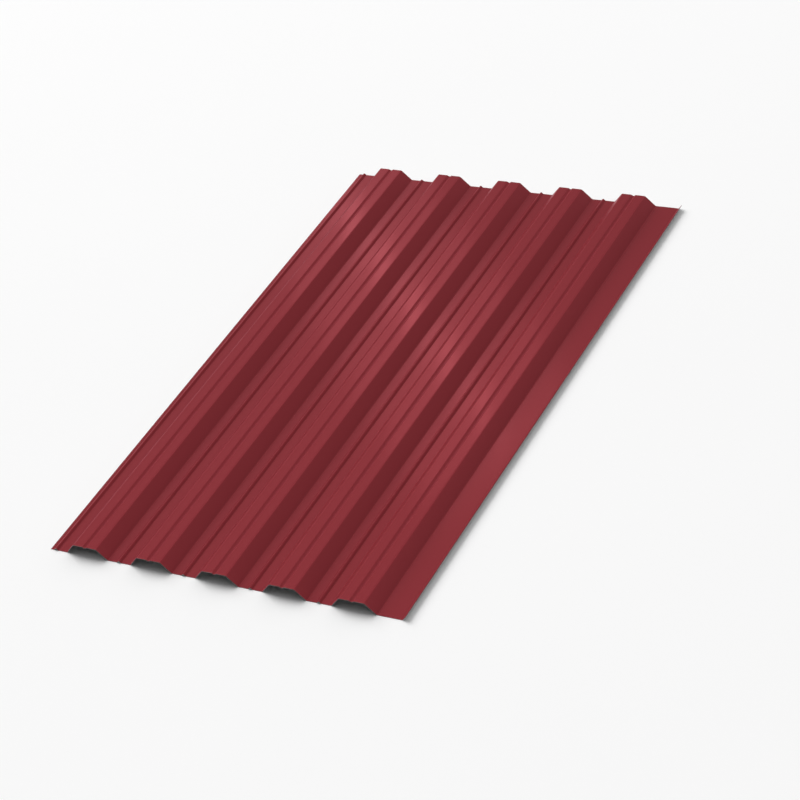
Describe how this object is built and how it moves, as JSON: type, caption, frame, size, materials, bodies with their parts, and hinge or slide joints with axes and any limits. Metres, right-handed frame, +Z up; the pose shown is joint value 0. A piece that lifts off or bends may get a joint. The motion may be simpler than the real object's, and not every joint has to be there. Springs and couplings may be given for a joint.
{
  "type": "trapezoidal corrugated metal sheet",
  "caption": "Roll-formed steel sheet for roofs, walls and fences, with flat-topped ridges, stiffening grooves and ribs, a plain lap flange and a turned-up lip, coated dark red.",
  "frame": {"origin": "under the middle of the sheet, on the plane of the bottom flanges' underside", "axes": "+X across the ridges towards the turned-up lip, +Y along the ridges, +Z up, the way the ridges stand"},
  "size_m": [1.0652, 1.735, 0.0317],
  "materials": {
    "coated_steel": "satin"
  },
  "bodies": {
    "root": {"profiled_sheet": "coated_steel"}
  },
  "joints": []
}
